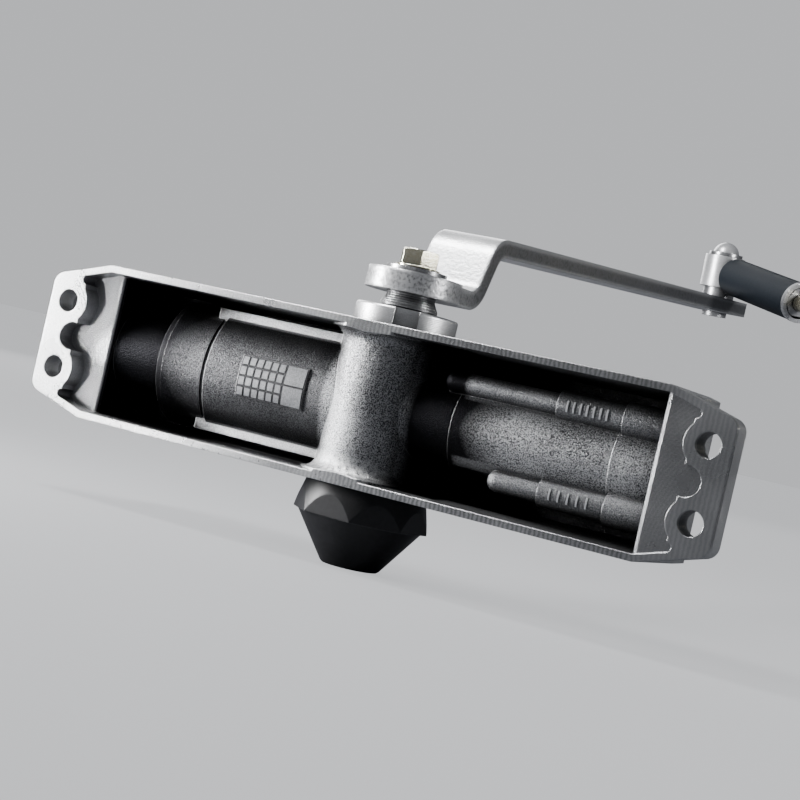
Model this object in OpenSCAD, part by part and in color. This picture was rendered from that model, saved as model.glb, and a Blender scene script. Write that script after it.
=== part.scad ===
// Overhead door closer: open-backed die-cast housing, rack-and-pinion hydraulic
// mechanism, bent main arm and adjustable forearm with its frame bracket.
// Frame: origin at the centre of the four mounting holes on the back plane,
// +X along the body towards the valve end, +Y from the back plane to the front,
// +Z along the pinion towards the arm.

/* [Mounting] */
// Distance between mounting holes along the body
hole_pitch_x = 190; // [182:1:205]
// Distance between mounting holes across the body
hole_pitch_z = 19; // [17:0.5:21]
// Diameter of the mounting holes
hole_d = 6.4; // [5:0.1:7]
// Radius of the flat land round each hole
land_r = 6.3; // [5.6:0.1:7]
// Thickness of the lug plate
lug_t = 8.2; // [7:0.1:8.5]
// Hole centre to the end of the lug
hole_to_end = 6.1; // [5:0.1:9]

/* [Housing] */
// Height of the body, along the pinion
body_h = 43.5; // [42:0.5:50]
// Depth of the body, from the back plane to the front
body_d = 38; // [36:0.5:46]
// Hole centre to the end face of the raised body
hole_to_body = 8.5; // [7:0.5:10]
// Width of the rim at the back plane
rim_w = 1.9; // [1.5:0.1:2.6]
// How far the inner walls lean in by the time they reach the floor
wall_lean = 1.7; // [0.5:0.1:2.2]
// Depth of the floor beside the barrel
floor_y = 26; // [22:0.5:30]
// Rounding of the long front edges
front_r = 6; // [2:0.5:9]
// Rounding of the front end corners
end_r = 8; // [3:0.5:10]
// Hole centre to the start of the sloping shoulder
shoulder_in = 12; // [11:0.5:16]
// Slope of the shoulder
shoulder_angle = 16.6; // [8:0.2:20]
// Corner radius of the lug plate
corner_r = 3.5; // [2.5:0.1:4.5]
// Hole centre to the inner edge of the left shelf
shelf_in = 13.6; // [13:0.1:16]
// Depth of the left shelf below the back plane
shelf_depth = 6; // [3:0.1:6.4]
// Hole centre to the inner edge of the right block
block_in = 12.7; // [12:0.1:16]
// Depth of the right block's face below the back plane
block_step = 1; // [0.4:0.1:3]
// Chamfer on the inner edges of shelf and block
edge_chamfer = 1; // [0.4:0.1:1.6]

/* [Barrel and boss] */
// Depth of the barrel's axis, which the pinion's axis crosses
axis_y = 20; // [19.4:0.1:21]
// Outer radius of the barrel on the valve side
barrel_r = 13; // [12.8:0.05:13.2]
// Radius of the flatter roof over the barrel on the spring side
roof_r = 20; // [19:0.5:22]
// Depth of the roof's crown
roof_top = 5; // [4.6:0.1:5.4]
// Depth of the webs beside the roof
web_y = 11.5; // [11:0.5:14]
// Half width of the roof with its webs
web_half = 17; // [16:0.1:17.4]
// Radius of the piston bore
bore_r = 10.8; // [10:0.1:11]
// Radius of the bore where an end plug screws in
plug_r = 11.2; // [11.1:0.05:11.3]
// Length of an end plug
plug_len = 12; // [9:0.5:14]
// Outer radius of the pinion boss
boss_r = 15.5; // [14.5:0.1:16.5]
// Radius of the rounded nose in front of the boss
nose_r = 12.5; // [11:0.1:13.5]
// Depth of the nose's axis
nose_y = 14.5; // [13.5:0.1:16]
// Fillet where the nose meets the walls
nose_fillet = 3.5; // [1:0.1:5]

/* [Valves] */
// Depth of the valve axes
valve_y = 11.2; // [11:0.05:11.5]
// Distance of the valve axes from the middle plane
valve_z = 11.2; // [11.1:0.05:11.8]
// Radius of the valve bore
valve_r = 2.4; // [2:0.05:2.5]
// Radii of the three steps of each valve rib
rib_r = [2.9, 3.8, 4.6];
// Where the rib steps up, from the pinion's axis
rib_step_x = [52.5, 70.5];
// Where the closing rib starts, from the pinion's axis
closing_x = 20; // [18:0.5:26]
// Where the latch rib starts, from the pinion's axis
latch_x = 37.5; // [30:0.5:46]
// Radius of the oil passages
passage_r = 1.1; // [0.8:0.05:1.3]

/* [Pinion] */
// Gear module of pinion and rack
gear_m = 1.25; // [1.15:0.05:1.3]
// Number of pinion teeth
gear_z = 9; // [8:1:9]
// Face width of pinion and rack
gear_w = 14; // [10:0.5:15]
// Radius of the pinion shaft
shaft_r = 6; // [5.6:0.05:6.2]
// Across flats of the square shaft ends
square_af = 8.4; // [7.4:0.1:8.4]
// Radius of the bearing seats in the housing
seat_r = 12; // [11:0.1:12.2]
// Depth of the bearing seats below the body's top and bottom sides
seat_drop = 8.75; // [8.5:0.05:9]
// Thickness of a bearing ring
bearing_t = 3; // [2:0.1:3.2]
// Thickness of a shaft seal
seal_t = 2; // [1.4:0.1:2.2]
// Radius of the retaining caps
cap_r = 14.3; // [13.4:0.1:15]
// Thickness of the retaining caps above the housing
cap_t = 5.15; // [3.5:0.05:6]
// Width and depth of the spanner notches in a cap
notch = [6.6, 3];
// Turn of the spanner notches about the pinion
notch_turn = 26.6; // [0:0.2:90]

/* [Piston] */
// Length of the piston to the left of the pinion at rest
piston_left = 32; // [30:0.5:34]
// Length of the piston to the right of the pinion at rest
piston_right = 60; // [58:0.5:64]
// Radial clearance of running fits
run_gap = 0.06; // [0.03:0.01:0.09]
// Radius of the spring wire
wire_r = 1.5; // [1.2:0.05:1.6]
// Mean radius of the spring
coil_r = 7; // [6.6:0.1:7.1]
// Number of spring turns
coil_turns = 8; // [6:1:10]

/* [Spindle cap] */
// Across flats of the eight-sided skirt
skirt_af = 34.2; // [32.5:0.1:36]
// Height of the skirt
skirt_h = 8.7; // [6:0.1:10]
// Height of the cone below the skirt
cone_h = 12.8; // [11:0.1:16]
// Radius of the cone's flat tip
tip_r = 7.6; // [6:0.1:10]
// Turn of the skirt about the pinion
skirt_turn = 18.4; // [0:0.2:45]

/* [Main arm] */
// Pinion axis to elbow axis, seen along the pinion
arm_len = 234.6; // [200:0.5:260]
// Direction of the arm, from +X towards +Y
arm_dir = 87.5; // [60:0.5:120]
// Width of the arm strip
arm_w = 20; // [16:0.5:22]
// Thickness of the arm strip
arm_t = 5.2; // [4:0.1:5.4]
// Radius of the arm's round head
head_r = 12.9; // [12:0.1:14]
// Thickness of the arm's round head
head_t = 5.6; // [5.4:0.1:6.4]
// Pinion axis to the start of the first bend
bend_s = 14.2; // [13:0.1:18]
// Inner radius of both bends
bend_r = 4.4; // [3:0.1:6]
// Angle of the riser between the bends
riser_angle = 68; // [45:1:80]
// Straight length of the riser
riser_len = 9; // [5:0.5:16]
// Slope of the strip beyond the riser
strip_slope = 3.9; // [0:0.1:6]
// Elbow axis to the end of the strip
arm_tail = 9.5; // [8:0.5:14]
// Height of the arm's head above the retaining cap
head_gap = 4.4; // [3:0.1:6]

/* [Elbow] */
// Radius of the elbow pin
pin_r = 3; // [2.6:0.05:3.4]
// Height of the spacer collar
collar_h = 4; // [3.2:0.1:6]
// Radius and height of the knuckle
knuckle = [7.5, 12];
// Radius and thickness of the elbow washer
elbow_washer = [6.3, 1.2];
// Radius and height of the domed pin head
dome = [4.9, 4.2];

/* [Forearm] */
// Direction of the forearm, from +X
fore_dir = 318.8; // [300:0.2:340]
// Drop of the forearm below the elbow's plane
fore_drop = 7.6; // [0:0.2:10]
// Elbow axis to bracket pivot
fore_len = 240; // [225:1:260]
// Radius of the sleeve
sleeve_r = 7; // [6.6:0.1:7.4]
// Elbow axis to the open end of the sleeve
sleeve_end = 54; // [44:0.5:70]
// Radius of the threaded rod
rod_r = 3; // [2.6:0.05:3.2]
// Across flats of the jam nut
nut_af = 10; // [9:0.1:10.4]
// Thickness of the jam nut
nut_t = 5; // [3.5:0.1:6]
// Radius and thickness of the rod's eye
eye = [7, 6];

/* [Bracket] */
// Width, height and thickness of the bracket's base
base = [48, 30, 3.5];
// Pivot axis to the base's face
reach = 22; // [18:0.5:30]
// Thickness of the bracket's tongue
tongue_t = 4; // [3:0.1:6]
// Distance between the bracket's screw holes
bracket_pitch = 32; // [24:1:36]
// Diameter of the bracket's screw holes
bracket_hole_d = 5.2; // [4:0.1:6]

/* [Hidden] */
$fn = 64;

over = 1;
hole_x = hole_pitch_x / 2;
hole_z = hole_pitch_z / 2;
end_x = hole_x + hole_to_end;
body_x = hole_x - hole_to_body;
half_h = body_h / 2;
shelf_x = hole_x - shelf_in;
block_x = hole_x - block_in;
shoulder_x = hole_x - shoulder_in;
corner_x = end_x - corner_r;
corner_z = half_h - (corner_r + sin(shoulder_angle) * (corner_x - shoulder_x)) / cos(shoulder_angle);

// Gear: pressure angle, pitch radius, rack tooth height above the pitch line, play in the mesh
pressure = 20;
pitch_r = gear_m * gear_z / 2;
gear_tip = pitch_r + gear_m;
gear_root = pitch_r - 1.25 * gear_m;
base_r = pitch_r * cos(pressure);
rack_tip = 0.9 * pitch_r * pow(sin(pressure), 2);
rack_root = 1.25 * gear_m + 0.25;
tooth_play = 0.14;
pitch = PI * gear_m;
turn_range = 160;
piston_travel = pitch_r * turn_range * PI / 180;
window_left = gear_tip + 1.2;
window_right = window_left + piston_travel;

// Inside the barrel: plug grooves, piston rings, check valve and the recess for the spring
plug_groove_x = body_x - plug_len + 3;
piston_r = bore_r - run_gap;
ring_x = [5 - piston_left, piston_right - 5];
spring_recess = 12;
ball_r = 2.6;
ball_seat_r = 1.8;
ball_seat_x = piston_right - 16;
check_bore_r = 3.1;
bolt_thread_r = 3;

// Heights along the pinion
seat_z = half_h - seat_drop;
seal_z = seat_z + bearing_t + 0.1;
plug_z = seal_z + seal_t + 0.1;
cap_z = half_h + cap_t;
arm_z = cap_z + head_gap;
arm_top = arm_z + head_t;
washer_r = 8.3;
washer_t = 1.4;
bolt_af = 9.6;
bolt_h = 5.2;
bolt_len = 20;

// The arm's bends, in the plane of its own length
bend_1 = [bend_s, arm_z + arm_t + bend_r];
bend_n = [sin(riser_angle), -cos(riser_angle)];
riser_d = [cos(riser_angle), sin(riser_angle)];
bend_2 = bend_1 + (2 * bend_r + arm_t) * bend_n + riser_len * riser_d;
slope_d = [cos(strip_slope), sin(strip_slope)];
slope_n = [-sin(strip_slope), cos(strip_slope)];
strip_low = bend_2 + bend_r * slope_n;
strip_top = strip_low + arm_t * slope_n;
strip_run = (arm_len - strip_top[0]) / cos(strip_slope);
valve_tip_x = rib_step_x[1] - 6;
valve_groove_x = valve_tip_x + 8;
supply_x = valve_tip_x + 4;
elbow_s = arm_len;
elbow_h = strip_top[1] + strip_run * sin(strip_slope);
arm_turn = arm_dir - 90;
knuckle_mid = collar_h + knuckle[1] / 2;
fore_turn = fore_dir - arm_turn;
neck_r = 4.5;
socket_end = sleeve_end - nut_t + 1;
rod_start = 24;

function turn_x(v, a) = [v[0], v[1] * cos(a) - v[2] * sin(a), v[1] * sin(a) + v[2] * cos(a)];
function turn_y(v, a) = [v[0] * cos(a) + v[2] * sin(a), v[1], v[2] * cos(a) - v[0] * sin(a)];
function turn_z(v, a) = [v[0] * cos(a) - v[1] * sin(a), v[0] * sin(a) + v[1] * cos(a), v[2]];
rod_local = turn_z(turn_y([fore_len, 0, 0], fore_drop), fore_turn) + [0, 0, knuckle_mid];
pivot = turn_z(turn_x(rod_local, strip_slope) + [0, elbow_s, elbow_h], arm_turn) + [0, axis_y, 0];

// ---------- shared placing modules ----------
// An outline given in (x, z), made solid from depth y0 to y1
module along_y(y0, y1) { translate([0, y1, 0]) rotate([90, 0, 0]) linear_extrude(y1 - y0) children(); }
// An outline given in (y, z), made solid from x0 to x1
module along_x(x0, x1) { translate([x0, 0, 0]) rotate([90, 0, 90]) linear_extrude(x1 - x0) children(); }
// An outline given in (x, y), made solid from z0 to z1
module along_z(z0, z1) { translate([0, 0, z0]) linear_extrude(z1 - z0) children(); }
// A cylinder along X
module rod_x(x0, x1, r, y = 0, z = 0) {
    translate([x0, y, z]) rotate([0, 90, 0]) cylinder(h = x1 - x0, r = r);
}
// A ring along Z
module ring_z(z0, z1, r_out, r_in) {
    difference() {
        translate([0, 0, z0]) cylinder(h = z1 - z0, r = r_out);
        translate([0, 0, z0 - over]) cylinder(h = z1 - z0 + 2 * over, r = r_in);
    }
}
module both_x() { children(); mirror([1, 0, 0]) children(); }
module both_z() { children(); mirror([0, 0, 1]) children(); }
module at_pinion() { translate([0, axis_y, 0]) children(); }
module at_arm() { at_pinion() rotate([0, 0, arm_turn]) children(); }
module at_elbow() { at_arm() translate([0, elbow_s, elbow_h]) rotate([strip_slope, 0, 0]) children(); }
module at_forearm() {
    at_elbow() translate([0, 0, knuckle_mid]) rotate([0, 0, fore_turn]) rotate([0, fore_drop, 0]) children();
}
module at_bracket() { translate(pivot) children(); }

// ---------- housing ----------
// Outline of the lug plate, drawn in by an even inset
module plate_outline(inset) {
    r = corner_r - inset;
    h = half_h - inset;
    sx = shoulder_x - inset * tan(shoulder_angle / 2);
    tx = corner_x + r * sin(shoulder_angle);
    tz = corner_z + r * cos(shoulder_angle);
    ex = corner_x + r;
    for (mx = [0, 1]) mirror([mx, 0]) for (mz = [0, 1]) mirror([0, mz]) {
        polygon([[-over, -over], [ex, -over], [ex, corner_z], [tx, tz], [sx, h], [-over, h]]);
        translate([corner_x, corner_z]) circle(r);
    }
}

// The whole outer form: a raised body on a lug plate, rounded at the front
module outer_form() {
    intersection() {
        union() {
            along_z(-half_h, half_h) {
                translate([-body_x, 0]) square([2 * body_x, body_d - end_r]);
                translate([-body_x + end_r, 0]) square([2 * (body_x - end_r), body_d]);
                for (s = [-1, 1]) translate([s * (body_x - end_r), body_d - end_r]) circle(end_r);
            }
            along_z(-half_h, half_h) translate([-end_x, 0]) square([2 * end_x, lug_t]);
        }
        along_y(0, body_d) plate_outline(0);
        along_x(-end_x, end_x) {
            translate([0, -half_h]) square([body_d - front_r, body_h]);
            translate([0, -half_h + front_r]) square([body_d, body_h - 2 * front_r]);
            for (s = [-1, 1]) translate([body_d - front_r, s * (half_h - front_r)]) circle(front_r);
        }
    }
}

// Outline of the recess between one end's scalloped lands and its inner edge
module scallop(edge_x) {
    // a round bay between the two lands, its circle tangent to both
    bay_reach = 0.3;
    bay_back = (hole_z * hole_z - pow(land_r + bay_reach, 2)) / (2 * (land_r + bay_reach));
    bay_half = hole_z * (1 - land_r / (land_r + bay_reach + bay_back)) + 0.3;
    upper_x = hole_x - 4.6;
    difference() {
        intersection() {
            plate_outline(rim_w - 0.02);
            union() {
                translate([edge_x, -half_h]) square([upper_x - edge_x, body_h]);
                translate([hole_x - bay_back, 0]) circle(bay_back + bay_reach + 0.02);
                translate([edge_x, -bay_half]) square([hole_x - 0.7 * bay_back - edge_x, 2 * bay_half]);
                for (s = [-1, 1]) translate([upper_x, s * (hole_z + land_r + 0.5)]) circle(1.3);
            }
        }
        for (s = [-1, 1]) translate([hole_x, s * hole_z]) circle(land_r);
    }
}

// The cavity's walls lean in evenly from the rim to the floor
module cavity_section() {
    h = half_h - rim_w;
    lean = wall_lean / floor_y;
    polygon([[-over, h + lean], [floor_y, h - wall_lean], [floor_y, wall_lean - h], [-over, -h - lean]]);
}

// One stepped valve rib with its rounded start and the web that carries it
module valve_rib(start_x) {
    steps = [start_x + rib_r[0], rib_step_x[0], rib_step_x[1], block_x + over];
    web = 0.03;
    translate([steps[0], valve_y, valve_z]) {
        rotate([0, 90, 0]) sphere(rib_r[0]);
        rotate([-90, 0, 0]) cylinder(h = floor_y, r = rib_r[0] - web);
    }
    for (i = [0 : 2]) {
        rod_x(steps[i], steps[i + 1], rib_r[i], valve_y, valve_z);
        translate([steps[i], valve_y, valve_z - rib_r[i] + web])
            cube([steps[i + 1] - steps[i], floor_y, 2 * rib_r[i] - 2 * web]);
    }
}

// Barrel: open necks at both ends, a flat roof with webs on the spring side, plain on the valve side
module barrel() {
    band_1 = 65.8;
    band_2 = 50.3;
    end_slope = 2.5;
    groove_w = 1.3;
    ring_1 = 25.5;
    ring_2 = 69.7;
    plate_x = [-38, -17];
    plate_z = [-5.4, 5.8];
    plate_rise = 0.45;
    roof_y = roof_top + roof_r;
    rod_x(-shelf_x - over, ring_1 + over, barrel_r - 0.6, axis_y);
    rod_x(ring_1, ring_2, barrel_r, axis_y);
    rod_x(ring_2, block_x + over, barrel_r + 0.25, axis_y);
    intersection() {
        union() {
            translate([-band_1, roof_y, 0]) rotate([0, 90, 0])
                cylinder(h = end_slope, r1 = roof_r - 0.5 - end_slope / 2, r2 = roof_r - 0.5);
            rod_x(end_slope - band_1 - 0.01, -band_2, roof_r - 0.5, roof_y);
            rod_x(-band_2 - over, groove_w - band_2, roof_r - 1, roof_y);
            rod_x(groove_w - band_2, 0, roof_r, roof_y);
            translate([-band_2 - 2, web_y, -half_h]) cube([band_2 + 2, body_d, body_h]);
            intersection() {
                rod_x(plate_x[0], plate_x[1], roof_r + plate_rise, roof_y);
                translate([plate_x[0] - over, 0, plate_z[0]])
                    cube([plate_x[1] - plate_x[0] + 2 * over, axis_y, plate_z[1] - plate_z[0]]);
            }
        }
        translate([-end_x, 0, -web_half]) cube([end_x, body_d, 2 * web_half]);
    }
}

// Pinion boss: a full round tower with a rounded nose, flared into both walls
module boss() {
    wall_z = half_h - rim_w - wall_lean / 2;
    at_pinion() cylinder(h = body_h, r = boss_r, center = true);
    translate([0, nose_y, 0]) {
        cylinder(h = body_h, r = nose_r, center = true);
        both_z() rotate_extrude() difference() {
            translate([0, wall_z - nose_fillet]) square([nose_r + nose_fillet, nose_fillet + over]);
            translate([nose_r + nose_fillet, wall_z - nose_fillet]) circle(nose_fillet);
        }
    }
}

module housing() {
    port_reach = norm([axis_y - valve_y, valve_z]);
    port_tilt = atan2(axis_y - valve_y, valve_z);
    color("silver") difference() {
        outer_form();
        difference() {
            intersection() {
                along_x(-end_x, end_x) cavity_section();
                union() {
                    along_x(-shelf_x, block_x) translate([-over, -half_h]) square([body_d, body_h]);
                    along_y(-over, block_step) scallop(block_x - over);
                    mirror([1, 0, 0]) along_y(-over, shelf_depth) scallop(shelf_x - over);
                    // chamfers on the inner edges of shelf and block
                    along_z(-half_h, half_h) {
                        for (edge = [[block_x, block_step], [-shelf_x, shelf_depth]])
                            translate(edge) rotate(45) square(edge_chamfer * sqrt(2), center = true);
                    }
                }
            }
            barrel();
            boss();
            valve_rib(closing_x);
            mirror([0, 0, 1]) valve_rib(latch_x);
        }
        // mounting holes
        for (sx = [-1, 1], sz = [-1, 1]) translate([sx * hole_x, lug_t + over, sz * hole_z])
            rotate([90, 0, 0]) cylinder(h = lug_t + 2 * over, d = hole_d);
        // piston bore and plug seats
        rod_x(-body_x - over, body_x + over, bore_r, axis_y);
        both_x() rod_x(body_x - plug_len, body_x + over, plug_r, axis_y);
        // pinion bore and bearing seats
        at_pinion() {
            cylinder(h = body_h, r = gear_tip + 1, center = true);
            both_z() translate([0, 0, seat_z]) cylinder(h = half_h, r = seat_r);
        }
        // valve bores, oil passages and the ports that join them to the piston bore
        both_z() rod_x(valve_tip_x, body_x + over, valve_r, valve_y, valve_z);
        rod_x(closing_x + rib_r[0], valve_tip_x + over, passage_r, valve_y, valve_z);
        rod_x(latch_x + rib_r[0], valve_tip_x + over, passage_r, valve_y, -valve_z);
        for (p = [[closing_x + 2 * rib_r[0], 0], [supply_x, 0], [latch_x + 2 * rib_r[0], 1], [supply_x, 1]])
            mirror([0, 0, p[1]]) translate([p[0], valve_y, valve_z]) rotate([port_tilt - 180, 0, 0])
                cylinder(h = port_reach, r = passage_r);
    }
}

// ---------- end plugs ----------
module end_plug() {
    color("slategray") difference() {
        rod_x(body_x - plug_len, body_x - 0.4, plug_r - 0.1, axis_y);
        difference() {
            rod_x(plug_groove_x - 1.3, plug_groove_x + 1.3, plug_r + over, axis_y);
            rod_x(plug_groove_x - 2, plug_groove_x + 2, plug_r - 2.3, axis_y);
        }
        translate([body_x - 6, axis_y, 0]) rotate([0, 90, 0]) cylinder(h = 6, r = 6, $fn = 6);
    }
}

module end_plug_right() { end_plug(); }

module end_plug_left() {
    mirror([1, 0, 0]) end_plug();
    color("slategray") rod_x(-body_x + plug_len, 6 - body_x + plug_len, coil_r - wire_r - 0.4, axis_y);
}

module plug_rings() {
    color("black") both_x() translate([plug_groove_x, axis_y, 0]) rotate([0, 90, 0])
        rotate_extrude() translate([plug_r - 1.12, 0]) circle(1.1);
}

// ---------- pinion ----------
// Involute tooth flanks, laid out as angles at growing radius
function flank(r) = let(a = acos(min(1, base_r / r))) tan(a) * 180 / PI - a;
tooth_half = (pitch / 2 - tooth_play) / pitch_r / 2 * 180 / PI;
function polar(r, a) = [r * cos(a), r * sin(a)];
function tooth_points(c) = let(n = 6, start = max(base_r, gear_root), f0 = tooth_half + flank(pitch_r))
concat(
    [polar(gear_root, c - f0)],
    [for (i = [0 : n]) let(r = start + (gear_tip - start) * i / n) polar(r, c - f0 + flank(r))],
    [for (i = [n : -1 : 0]) let(r = start + (gear_tip - start) * i / n) polar(r, c + f0 - flank(r))],
    [polar(gear_root, c + f0)]
);

module pinion() {
    square_z = arm_top - 0.3;
    color("lightsteelblue") at_pinion() difference() {
        union() {
            linear_extrude(gear_w, center = true)
                polygon([for (i = [0 : gear_z - 1]) each tooth_points(90 + i * 360 / gear_z)]);
            both_z() translate([0, 0, gear_w / 2]) cylinder(h = arm_z - gear_w / 2, r = shaft_r);
            rotate([0, 0, arm_turn]) both_z() translate([-square_af / 2, -square_af / 2, seat_z])
                cube([square_af, square_af, square_z - seat_z]);
        }
        both_z() translate([0, 0, square_z - bolt_len + washer_t])
            cylinder(h = bolt_len, r = bolt_thread_r + 0.05);
    }
}

module bearing() { at_pinion() ring_z(seat_z + 0.02, seat_z + bearing_t, seat_r - 0.03, shaft_r + run_gap); }
module bearing_top() { color("gainsboro") bearing(); }
module bearing_bottom() { color("gainsboro") mirror([0, 0, 1]) bearing(); }
module seal() { at_pinion() ring_z(seal_z, seal_z + seal_t, seat_r - 0.05, shaft_r + run_gap); }
module seal_top() { color("black") seal(); }
module seal_bottom() { color("black") mirror([0, 0, 1]) seal(); }

// A screwed retaining cap with a rounded rim and four spanner notches
module retaining_cap() {
    round = 0.9;
    color("silver") at_pinion() difference() {
        union() {
            translate([0, 0, plug_z]) cylinder(h = half_h - plug_z + 0.5, r = seat_r - 0.1);
            rotate_extrude() {
                translate([0, half_h]) square([cap_r, cap_t - round]);
                translate([0, half_h]) square([cap_r - round, cap_t]);
                translate([cap_r - round, cap_z - round]) circle(round);
            }
        }
        translate([0, 0, plug_z - over]) cylinder(h = cap_z, r = shaft_r + run_gap);
        for (a = [0 : 3]) rotate([0, 0, notch_turn + 90 * a])
            translate([-notch[0] / 2, -cap_r - over, half_h + 0.4]) cube([notch[0], notch[1] + over, cap_t]);
    }
}
module cap_top() { retaining_cap(); }
module cap_bottom() { mirror([0, 0, 1]) retaining_cap(); }

// Flared collar that fills the space between the cap and the arm's head
module dust_collar() {
    low = cap_z + 0.15;
    high = arm_z - 0.05;
    wide = shaft_r + 1.9;
    slim = shaft_r + 0.5;
    color("silver") at_pinion() rotate_extrude() difference() {
        polygon([
            [shaft_r + 0.01, low], [wide - 0.4, low], [wide, low + 0.4], [wide, low + 1.1],
            [wide - 0.5, low + 2], [slim + 0.2, high - 0.9], [slim + 0.2, high], [shaft_r + 0.01, high]
        ]);
        translate([slim, high - 0.7]) square([over, 0.25]);
    }
}

// ---------- piston, with its rack window, check valve and spring ----------
module rack_teeth() {
    line_y = axis_y + pitch_r;
    half = pitch / 4 - tooth_play / 2;
    lean = tan(pressure);
    root = rack_root;
    count = floor((piston_travel + pitch) / pitch) + 2;
    for (i = [-2 : count - 3]) translate([(i + 0.5) * pitch, line_y]) polygon([
        [-half - root * lean, root + 0.2], [-half - root * lean, root], [-half + rack_tip * lean, -rack_tip],
        [half - rack_tip * lean, -rack_tip], [half + root * lean, root], [half + root * lean, root + 0.2]
    ]);
}

module piston() {
    window_y = axis_y - gear_tip - 0.8;
    color("lightslategray") {
        difference() {
            rod_x(-piston_left, piston_right, piston_r, axis_y);
            translate([-window_left, window_y, -bore_r])
                cube([window_left + window_right, axis_y + pitch_r + rack_root - window_y, 2 * bore_r]);
            rod_x(-piston_left - over, spring_recess - piston_left, coil_r + wire_r + 0.3, axis_y);
            rod_x(ball_seat_x, piston_right + over, check_bore_r, axis_y);
            rod_x(0, piston_right, ball_seat_r, axis_y);
            for (x = ring_x) difference() {
                rod_x(x - 1.3, x + 1.3, bore_r + over, axis_y);
                rod_x(x - 2, x + 2, piston_r - 1.4, axis_y);
            }
        }
        intersection() {
            along_z(-gear_w / 2 + 0.3, gear_w / 2 - 0.3) rack_teeth();
            rod_x(-window_left, window_right, piston_r, axis_y);
        }
    }
}

module piston_rings() {
    color("dimgray") for (x = ring_x) difference() {
        rod_x(x - 1.2, x + 1.2, bore_r - 0.02, axis_y);
        rod_x(x - 2, x + 2, piston_r - 1.3, axis_y);
    }
}

// The ball rests 0.05 off the rim of its seat
module check_ball() {
    rest_x = ball_seat_x + sqrt(ball_r * ball_r - ball_seat_r * ball_seat_r) + 0.05;
    color("lightgray") translate([rest_x, axis_y, 0]) sphere(ball_r);
}

module check_retainer() {
    start = ball_seat_x + 2 * ball_r - 0.4;
    color("goldenrod") difference() {
        rod_x(start, start + 3.2, check_bore_r - 0.05, axis_y);
        rod_x(start - over, start + 3.2 + over, 1.4, axis_y);
    }
}

// A round wire swept along a helix, its ends closed
module main_spring() {
    x0 = plug_len - body_x;
    length = spring_recess - piston_left - x0 - 2 * wire_r;
    steps = 20;
    sides = 8;
    total = coil_turns * steps;
    points = [for (i = [0 : total], j = [0 : sides - 1])
        let(a = i * 360 / steps, b = j * 360 / sides, r = coil_r + wire_r * cos(b))
        [x0 + wire_r + length * i / total + wire_r * sin(b), axis_y + r * cos(a), r * sin(a)]];
    sides_faces = [for (i = [0 : total - 1], j = [0 : sides - 1]) let(k = (j + 1) % sides)
        [i * sides + j, (i + 1) * sides + j, (i + 1) * sides + k, i * sides + k]];
    ends = [[for (j = [0 : sides - 1]) j], [for (j = [sides - 1 : -1 : 0]) total * sides + j]];
    color("dimgray") polyhedron(points, concat(sides_faces, ends), convexity = 20);
}

// ---------- valves ----------
module valve_screw() {
    tip_x = valve_tip_x;
    groove_x = valve_groove_x;
    r = valve_r - 0.05;
    color("silver") difference() {
        union() {
            rod_x(groove_x - 1.2, body_x - 2, r, valve_y, valve_z);
            rod_x(tip_x + 0.5, groove_x, r - 0.8, valve_y, valve_z);
            rod_x(tip_x - 3, tip_x + over, passage_r - 0.1, valve_y, valve_z);
        }
        difference() {
            rod_x(groove_x - 0.5, groove_x + 0.5, r + over, valve_y, valve_z);
            rod_x(groove_x - 1, groove_x + 1, r - 0.75, valve_y, valve_z);
        }
        translate([body_x - 3.2, valve_y - 0.4, valve_z - 4]) cube([2, 0.8, 8]);
    }
}
module valve_ring() {
    color("black") translate([valve_groove_x, valve_y, valve_z]) rotate([0, 90, 0])
        rotate_extrude() translate([valve_r - 0.42, 0]) circle(0.36);
}
module closing_valve() { valve_screw(); }
module closing_ring() { valve_ring(); }
module latch_valve() { mirror([0, 0, 1]) valve_screw(); }
module latch_ring() { mirror([0, 0, 1]) valve_ring(); }

// ---------- plastic cap over the unused end of the pinion ----------
module spindle_cap() {
    top = -half_h - 0.25;
    edge = top - skirt_h;
    tip = edge - cone_h;
    corner = skirt_af / 2 / cos(22.5);
    skin = 2;
    hollow_r = cap_r + 0.05;
    color("dimgray") at_pinion() difference() {
        union() {
            intersection() {
                rotate([0, 0, skirt_turn]) translate([0, 0, edge]) cylinder(h = skirt_h, r = corner, $fn = 8);
                rotate_extrude() polygon([[0, edge], [corner + 0.1, edge], [corner - 2.1, top], [0, top]]);
            }
            rotate_extrude() polygon([
                [0, edge + over], [skirt_af / 2 - 0.1, edge + over], [skirt_af / 2 - 0.1, edge],
                [tip_r + 0.6, tip + 0.5], [tip_r, tip], [0, tip]
            ]);
        }
        rotate_extrude() polygon([
            [0, top + over], [hollow_r, top + over], [hollow_r, edge], [tip_r - skin, tip + 3], [0, tip + 3]
        ]);
    }
}

// ---------- main arm ----------
// Points along an arc, from angle a0 to a1
function arc(c, r, a0, a1) = [for (i = [0 : 12]) c + polar(r, a0 + (a1 - a0) * i / 12)];

// Side view of the arm: flat run, bend, riser, bend and sloping strip
module arm_side() {
    r_out = bend_r + arm_t;
    tail = (strip_run + arm_tail) * slope_d;
    polygon(concat(
        [[0, arm_z]],
        arc(bend_1, r_out, -90, riser_angle - 90),
        arc(bend_2, bend_r, riser_angle + 90, strip_slope + 90),
        [strip_low + tail, strip_top + tail],
        arc(bend_2, r_out, strip_slope + 90, riser_angle + 90),
        arc(bend_1, bend_r, riser_angle - 90, -90),
        [[0, arm_z + arm_t]]
    ));
}

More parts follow.
